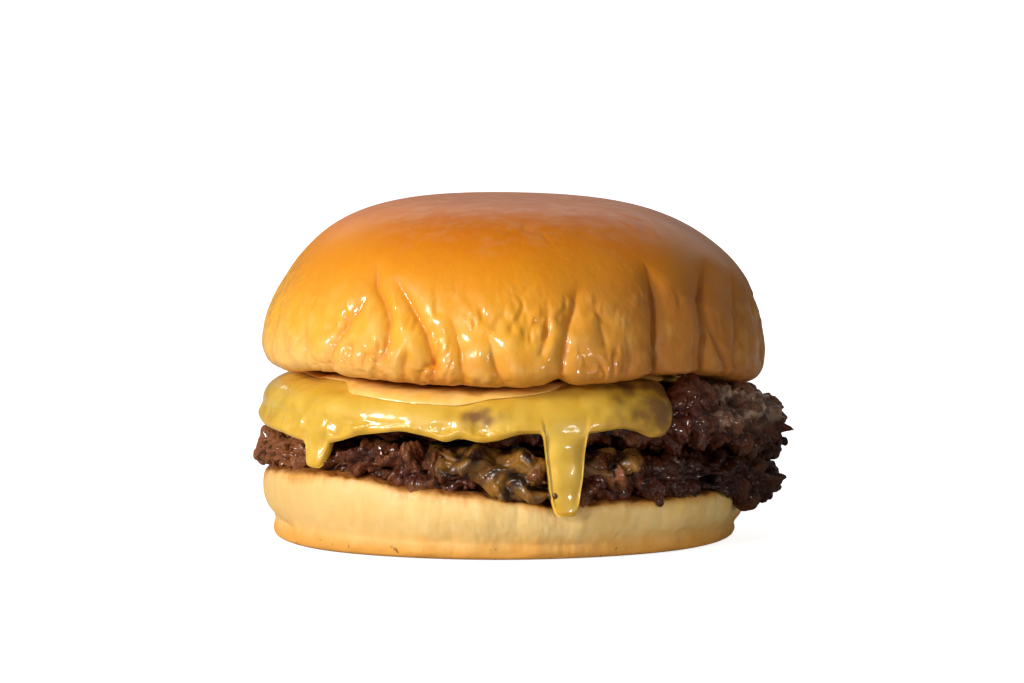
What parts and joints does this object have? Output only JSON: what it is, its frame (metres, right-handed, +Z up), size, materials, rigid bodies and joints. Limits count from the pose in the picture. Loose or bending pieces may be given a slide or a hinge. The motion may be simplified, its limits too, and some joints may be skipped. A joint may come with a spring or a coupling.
{
  "type": "cheeseburger",
  "caption": "Double cheeseburger on a soft wrinkled bun, with craggy seared patties, melted cheese that drips at the front, and a thin sauce.",
  "frame": {"origin": "middle of the flat base that the burger stands on", "axes": "+Z up, front towards -Y, +X towards the end where the patties hang out furthest"},
  "size_m": [0.1128, 0.1059, 0.0714],
  "materials": {
    "golden_crust": "soft sheen",
    "pale_bun": "matt",
    "seared_beef": "moist",
    "melted_cheese": "satin",
    "peach_sauce": "glossy"
  },
  "bodies": {
    "root": {"bottom_bun": "pale_bun", "lower_patty": "seared_beef", "lower_cheese": "melted_cheese", "upper_patty": "seared_beef", "upper_cheese": "melted_cheese", "burger_sauce": "peach_sauce", "top_bun": "golden_crust"}
  },
  "joints": []
}
